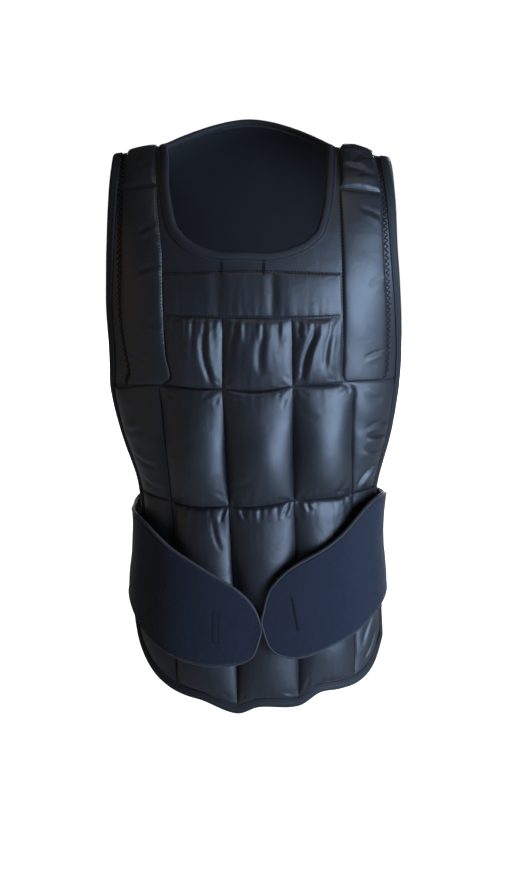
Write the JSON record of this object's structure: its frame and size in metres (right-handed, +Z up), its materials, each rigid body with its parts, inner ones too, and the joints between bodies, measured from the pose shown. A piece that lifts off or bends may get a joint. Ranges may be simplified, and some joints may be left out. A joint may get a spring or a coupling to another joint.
{
  "type": "weighted vest",
  "caption": "Long black weighted vest with rows of filled nylon pockets, padded shoulder tabs, taped edges and two belt wings that close over the front.",
  "frame": {"origin": "on the wearer, in the middle between the two shoulder straps, at the height of the straps' underside on the shoulder ridge", "axes": "+X to the viewer's right seen from the front (the wearer's left), +Y towards the wearer's back, +Z up; the front faces -Y"},
  "size_m": [0.3089, 0.2569, 0.6091],
  "materials": {
    "nylon": "smooth woven nylon with a satin sheen",
    "lining": "matte woven base cloth",
    "binding": "matte ribbed binding tape",
    "belt_cloth": "matte brushed loop cloth",
    "piping": "matte woven piping, a little lighter than the cloth"
  },
  "bodies": {
    "root": {"front_panel": "lining", "back_panel": "lining", "chest_band": "nylon", "front_upper_pocket_left": "nylon", "front_upper_pocket_centre": "nylon", "front_upper_pocket_right": "nylon", "front_middle_pocket_left": "nylon", "front_middle_pocket_centre": "nylon", "front_middle_pocket_right": "nylon", "front_lower_pocket_left": "nylon", "front_lower_pocket_centre": "nylon", "front_lower_pocket_right": "nylon", "back_upper_pocket_left": "nylon", "back_upper_pocket_centre": "nylon", "back_upper_pocket_right": "nylon", "back_middle_pocket_left": "nylon", "back_middle_pocket_centre": "nylon", "back_middle_pocket_right": "nylon", "back_lower_pocket_left": "nylon", "back_lower_pocket_centre": "nylon", "back_lower_pocket_right": "nylon", "side_pocket_left_upper": "nylon", "side_pocket_left_lower": "nylon", "side_pocket_right_upper": "nylon", "side_pocket_right_lower": "nylon", "strap_pocket_left": "nylon", "strap_pocket_right": "nylon", "shoulder_tab_left": "nylon", "shoulder_tab_right": "nylon", "edge_binding": "binding", "neck_binding": "binding", "belt_wing_left": "belt_cloth", "belt_wing_right": "belt_cloth", "wing_piping_left": "piping", "wing_piping_right": "piping"}
  },
  "joints": []
}
